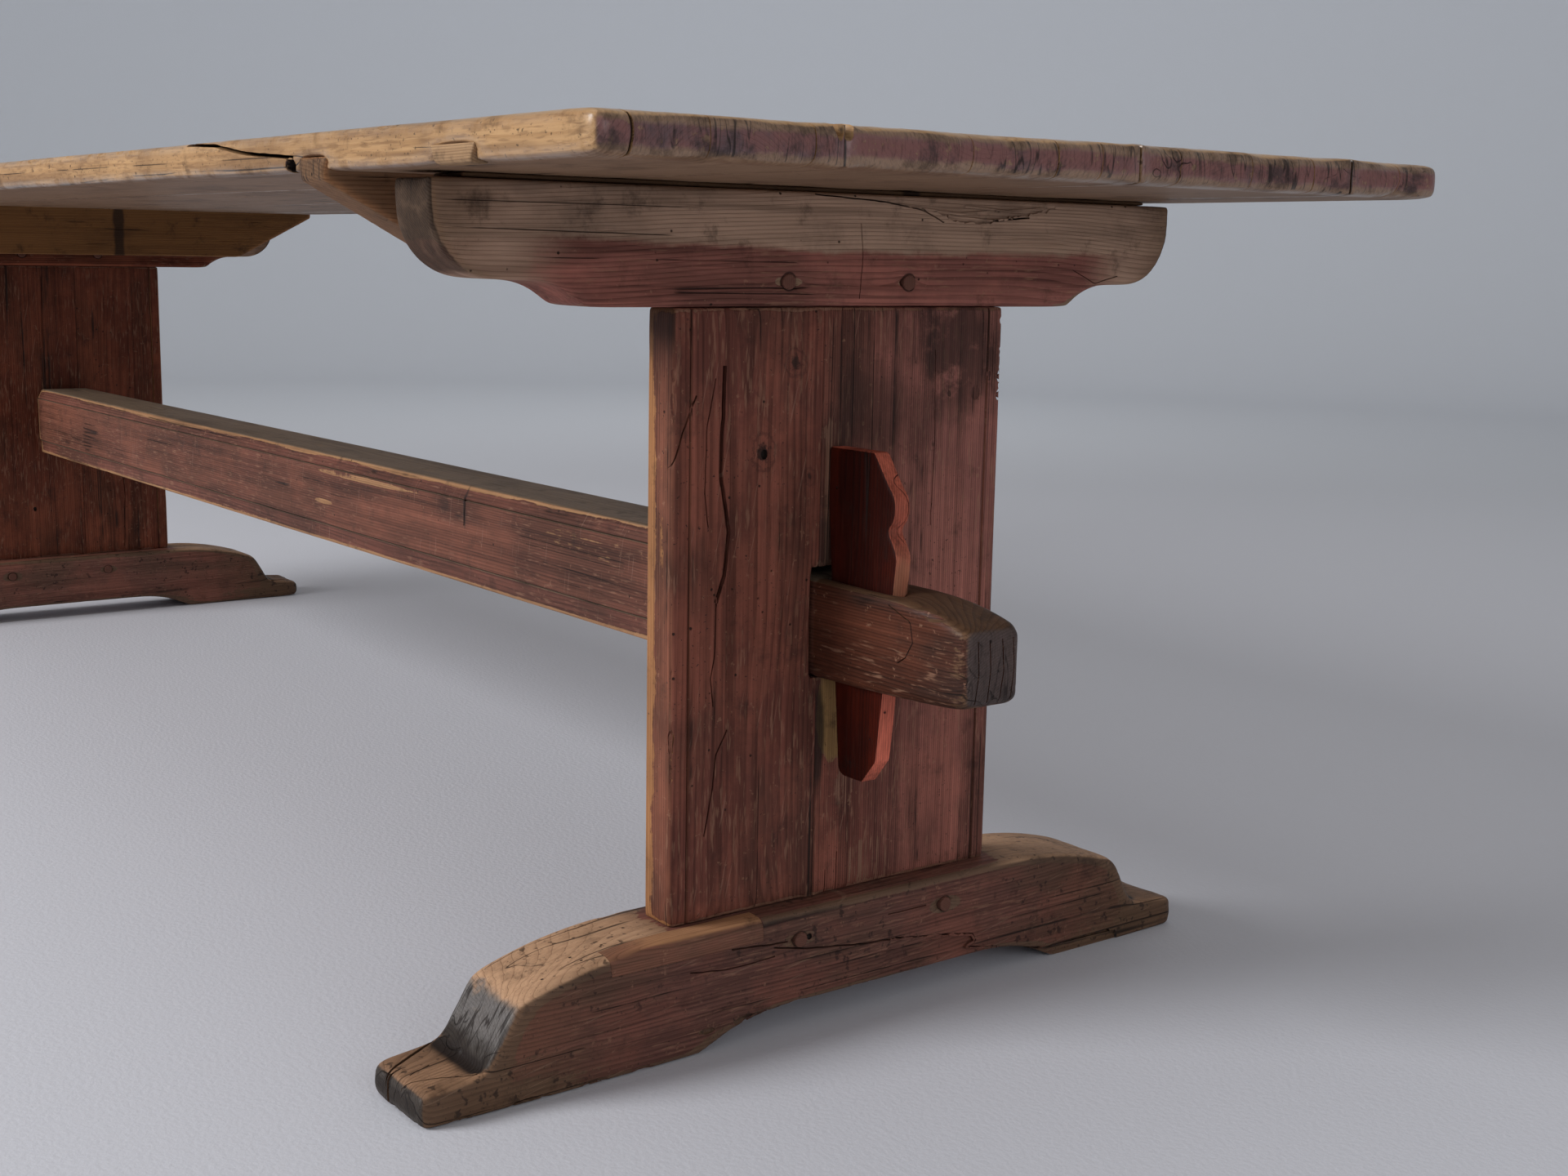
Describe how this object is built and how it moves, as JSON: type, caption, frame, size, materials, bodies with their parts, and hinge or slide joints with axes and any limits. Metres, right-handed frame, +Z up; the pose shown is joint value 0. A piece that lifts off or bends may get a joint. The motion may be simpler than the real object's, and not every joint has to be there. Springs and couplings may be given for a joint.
{
  "type": "trestle table",
  "caption": "Long knock-down trestle dining table: plank top on battens, panel trestles on sledge feet, and a stretcher whose through tenons are held by scroll-cut wedges.",
  "frame": {"origin": "on the floor under the middle of the table, at the bottom centre of its box", "axes": "+X along the length towards the right trestle, +Y across towards the back edge, +Z up"},
  "size_m": [2.89, 0.862, 0.77],
  "materials": {
    "top_pine": "worn waxed pine",
    "red_paint": "old worn red paint",
    "bare_pine": "bare aged pine",
    "peg_wood": "stained hardwood",
    "wedge_wood": "newer red stain",
    "patch_wood": "bare repair wood"
  },
  "bodies": {
    "frame": {"stretcher": "red_paint", "right_foot_repair_strip": "patch_wood", "right_bearer": "red_paint", "right_packing_strip": "bare_pine", "right_narrow_panel_board": "red_paint", "right_wide_panel_board": "red_paint", "right_panel_dowels": "peg_wood", "right_bearer_pegs": "peg_wood", "right_foot_pegs": "peg_wood", "right_foot": "red_paint", "left_bearer": "red_paint", "left_packing_strip": "bare_pine", "left_narrow_panel_board": "red_paint", "left_wide_panel_board": "red_paint", "left_panel_dowels": "peg_wood", "left_bearer_pegs": "peg_wood", "left_foot_pegs": "peg_wood", "left_foot": "red_paint"},
    "top": {"front_top_board": "top_pine", "inner_front_top_board": "top_pine", "inner_back_top_board": "top_pine", "back_top_board": "top_pine", "edge_patch": "patch_wood", "right_batten": "bare_pine", "left_batten": "bare_pine", "top_dowels": "peg_wood"},
    "right_wedge": {"right_wedge": "wedge_wood"},
    "left_wedge": {"left_wedge": "wedge_wood"}
  },
  "joints": [
    {"name": "right_wedge_lift", "type": "slide", "parent": "frame", "child": "right_wedge", "axis": [0, 0, 1], "range_m": [0, 0.18]},
    {"name": "left_wedge_lift", "type": "slide", "parent": "frame", "child": "left_wedge", "axis": [0, 0, 1], "range_m": [0, 0.18]},
    {"name": "top_lift", "type": "slide", "parent": "frame", "child": "top", "axis": [0, 0, 1], "range_m": [0, 0.1]}
  ]
}
